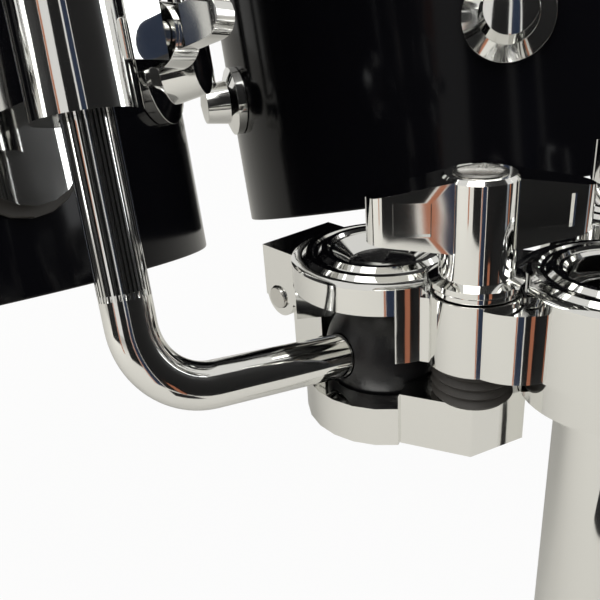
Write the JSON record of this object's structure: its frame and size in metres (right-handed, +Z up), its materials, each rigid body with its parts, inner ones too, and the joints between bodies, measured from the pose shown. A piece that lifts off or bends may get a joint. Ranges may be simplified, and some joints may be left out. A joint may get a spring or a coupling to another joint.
{
  "type": "concert tom pair on ball holder",
  "caption": "Two single-headed concert toms on bent rods, held by ball clamps on one shared chromed holder and post",
  "frame": {"origin": "centre of the post's lower end", "axes": "+Z up along the post, +Y towards the player, +X to the right drum"},
  "size_m": [0.6381, 0.4611, 0.4586],
  "materials": {
    "chrome": "polished chrome plate",
    "steel": "plain plated steel",
    "nylon": "fine-textured black nylon",
    "rubber": "dark moulded rubber",
    "lacquer": "high gloss black lacquer",
    "head": "coated drum head film"
  },
  "bodies": {
    "holder": {"holder_body": "chrome", "post_tube": "chrome", "left_hinge_pin": "steel", "left_jaw_bush": "rubber", "left_clamp_washer": "chrome", "right_hinge_pin": "steel", "right_jaw_bush": "rubber", "right_clamp_washer": "chrome"},
    "left_jaw": {"left_lower_jaw": "chrome"},
    "left_wing": {"left_wing_bolt": "chrome", "left_clamp_stud": "steel"},
    "left_arm": {"left_ball": "nylon", "left_l_rod": "chrome"},
    "left_lock": {"left_memory_lock": "chrome", "left_lock_screw": "steel"},
    "left_drum": {"left_shell": "lacquer", "left_batter_head": "head", "left_flesh_hoop": "steel", "left_counterhoop": "chrome", "left_bracket_gasket": "rubber", "left_bracket_flange": "chrome", "left_tension_rod_1": "chrome", "left_tension_rod_2": "chrome", "left_tension_rod_3": "chrome", "left_tension_rod_4": "chrome", "left_tension_rod_5": "chrome", "left_tension_rod_6": "chrome", "left_lug_1": "chrome", "left_lug_2": "chrome", "left_lug_3": "chrome", "left_lug_4": "chrome", "left_lug_5": "chrome", "left_lug_6": "chrome"},
    "left_thumb": {"left_thumb_screw": "chrome"},
    "right_jaw": {"right_lower_jaw": "chrome"},
    "right_wing": {"right_wing_bolt": "chrome", "right_clamp_stud": "steel"},
    "right_arm": {"right_ball": "nylon", "right_l_rod": "chrome"},
    "right_lock": {"right_memory_lock": "chrome", "right_lock_screw": "steel"},
    "right_drum": {"right_shell": "lacquer", "right_batter_head": "head", "right_flesh_hoop": "steel", "right_counterhoop": "chrome", "right_bracket_gasket": "rubber", "right_bracket_flange": "chrome", "right_tension_rod_1": "chrome", "right_tension_rod_2": "chrome", "right_tension_rod_3": "chrome", "right_tension_rod_4": "chrome", "right_tension_rod_5": "chrome", "right_tension_rod_6": "chrome", "right_lug_1": "chrome", "right_lug_2": "chrome", "right_lug_3": "chrome", "right_lug_4": "chrome", "right_lug_5": "chrome", "right_lug_6": "chrome"},
    "right_thumb": {"right_thumb_screw": "chrome"}
  },
  "joints": [
    {"name": "left_wing_turn", "type": "hinge", "parent": "holder", "child": "left_wing", "pos_m": [-0.03246, 0.01478, 0.25], "axis": [0, 0, 1], "range_deg": [0, 428]},
    {"name": "left_jaw_open", "type": "hinge", "parent": "holder", "child": "left_jaw", "pos_m": [-0.05402, 0.07665, 0.229], "axis": [0.9443, 0.3291, 0], "range_deg": [0, 1.31]},
    {"name": "left_arm_swing", "type": "hinge", "parent": "holder", "child": "left_arm", "pos_m": [-0.04412, 0.04412, 0.219], "axis": [0, 0, 1], "range_deg": [0, 20]},
    {"name": "left_lock_slide", "type": "slide", "parent": "left_arm", "child": "left_lock", "axis": [0, 0.284, 0.9588], "range_m": [-0.015, 0.02]},
    {"name": "left_drum_turn", "type": "hinge", "parent": "left_lock", "child": "left_drum", "pos_m": [-0.11686, 0.02809, 0.23007], "axis": [0, 0.284, 0.9588], "range_deg": [0, 12]},
    {"name": "left_thumb_turn", "type": "hinge", "parent": "left_drum", "child": "left_thumb", "pos_m": [-0.09949, 0.06244, 0.31118], "axis": [0.8686, 0.4751, -0.1407], "range_deg": [0, 360]},
    {"name": "right_wing_turn", "type": "hinge", "parent": "holder", "child": "right_wing", "pos_m": [0.03246, 0.01478, 0.25], "axis": [0, 0, 1], "range_deg": [0, 428]},
    {"name": "right_jaw_open", "type": "hinge", "parent": "holder", "child": "right_jaw", "pos_m": [0.05402, 0.07665, 0.229], "axis": [0.9443, -0.3291, 0], "range_deg": [0, 1.31]},
    {"name": "right_arm_swing", "type": "hinge", "parent": "holder", "child": "right_arm", "pos_m": [0.04412, 0.04412, 0.219], "axis": [0, 0, 1], "range_deg": [-20, 0]},
    {"name": "right_lock_slide", "type": "slide", "parent": "right_arm", "child": "right_lock", "axis": [0, 0.284, 0.9588], "range_m": [-0.004, 0.02]},
    {"name": "right_drum_turn", "type": "hinge", "parent": "right_lock", "child": "right_drum", "pos_m": [0.11686, 0.02809, 0.23007], "axis": [0, 0.284, 0.9588], "range_deg": [-12, 0]},
    {"name": "right_thumb_turn", "type": "hinge", "parent": "right_drum", "child": "right_thumb", "pos_m": [0.13685, 0.0534, 0.318], "axis": [0.9994, -0.0335, 0.0099], "range_deg": [0, 360]}
  ],
  "couplings": [
    {"joint": "left_jaw_open", "follows": "left_wing_turn", "ratio": 0.003038},
    {"joint": "right_jaw_open", "follows": "right_wing_turn", "ratio": 0.003038}
  ]
}
